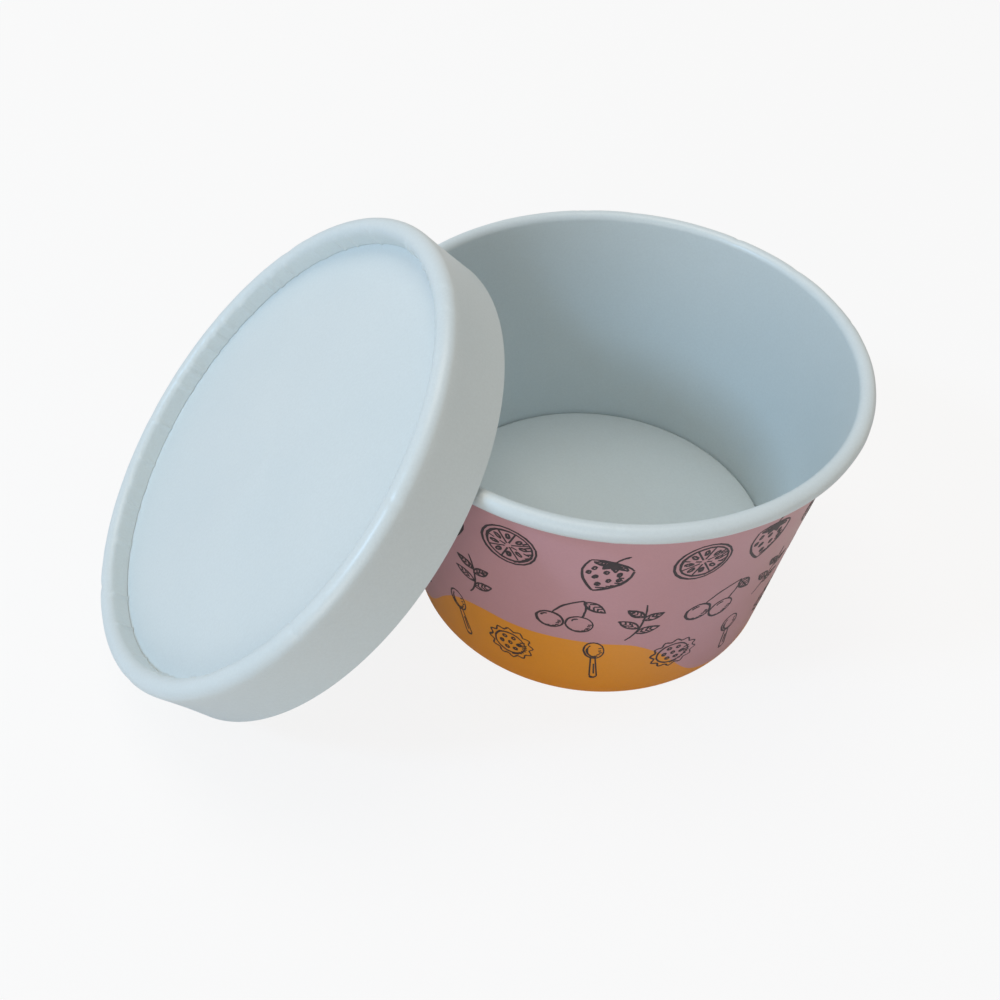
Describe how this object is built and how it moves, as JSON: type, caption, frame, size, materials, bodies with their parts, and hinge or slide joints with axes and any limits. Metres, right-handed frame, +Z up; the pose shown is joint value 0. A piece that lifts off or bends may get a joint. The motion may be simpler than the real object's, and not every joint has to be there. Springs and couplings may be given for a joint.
{
  "type": "paper dessert cup",
  "caption": "Tapered round paper cup with a rolled rim and raised base, its shallow rolled-edge paper lid taken off and leaning on the rim.",
  "frame": {"origin": "centre of the cup's foot, on the table it stands on", "axes": "+Z up along the cup's axis, out of its mouth; the lid leans on the rim at -X"},
  "size_m": [0.1493, 0.0972, 0.0766],
  "materials": {
    "printed_board": "satin printed, plastic-coated",
    "plain_board": "satin plastic-coated"
  },
  "bodies": {
    "root": {"cup_wall": "printed_board", "cup_base": "plain_board", "lid_band": "plain_board", "lid_disc": "plain_board"}
  },
  "joints": []
}
